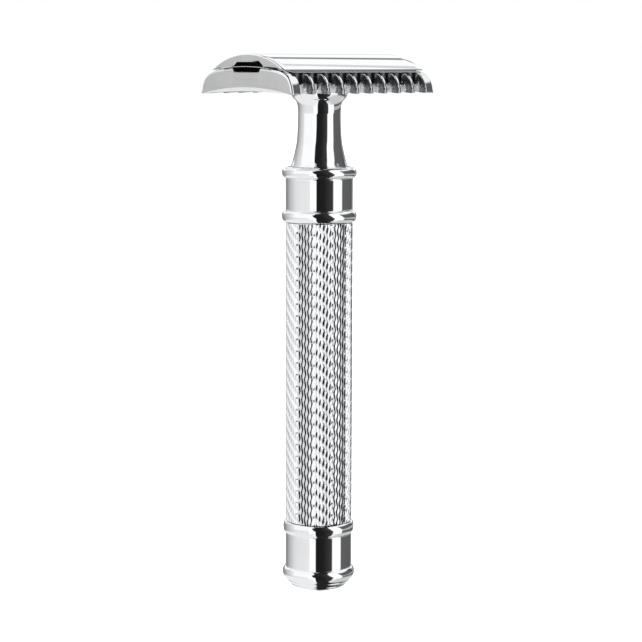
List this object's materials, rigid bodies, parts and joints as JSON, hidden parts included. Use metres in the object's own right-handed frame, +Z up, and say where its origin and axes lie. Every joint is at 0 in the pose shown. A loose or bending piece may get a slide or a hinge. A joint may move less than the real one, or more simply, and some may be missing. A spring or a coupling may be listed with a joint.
{
  "type": "double-edge safety razor",
  "caption": "Three-piece open-comb safety razor with a long knurled metal handle, beaded collars, a domed cap and a flexible two-edged blade.",
  "frame": {"origin": "middle of the small flat foot at the bottom of the handle", "axes": "+Z up along the handle to the head, +X along the blade, +Y across the blade from edge to edge"},
  "size_m": [0.0428, 0.025, 0.1098],
  "materials": {
    "chrome_turned": "polished chrome plate on turned brass",
    "chrome_cast": "polished chrome plate on die-cast zinc, satin on the end faces",
    "chrome_knurl": "chrome plate over a fine diamond knurl",
    "blade_steel": "thin ground stainless strip",
    "steel": "bright steel",
    "brass": "bare machined brass",
    "rubber": "black nitrile rubber"
  },
  "bodies": {
    "handle": {"neck": "chrome_turned", "thread_bush": "brass", "upper_collar": "chrome_turned", "upper_seal": "rubber", "grip_sleeve": "chrome_knurl", "tie_rod": "steel", "end_cap": "chrome_turned", "lower_seal": "rubber", "rod_washer": "steel", "rod_nut": "brass", "foot_plug": "chrome_turned"},
    "comb_plate": {"comb_plate": "chrome_cast"},
    "blade": {"blade": "blade_steel"},
    "cap": {"cap": "chrome_cast", "cap_stud": "steel", "cap_pin_left": "chrome_cast", "cap_pin_right": "chrome_cast"}
  },
  "joints": [
    {"name": "head_turn", "type": "hinge", "parent": "handle", "child": "comb_plate", "pos_m": [0, 0, 0.102], "axis": [0, 0, 1], "range_deg": [0, 2880]},
    {"name": "cap_rise", "type": "slide", "parent": "comb_plate", "child": "cap", "axis": [0, 0, 1], "range_m": [0, 0.00641]},
    {"name": "blade_rise", "type": "slide", "parent": "comb_plate", "child": "blade", "axis": [0, 0, 1], "range_m": [0, 0.00321]}
  ],
  "couplings": [
    {"joint": "cap_rise", "follows": "head_turn", "m_per_rad": 0.00012732},
    {"joint": "blade_rise", "follows": "head_turn", "m_per_rad": 0.000063662}
  ]
}
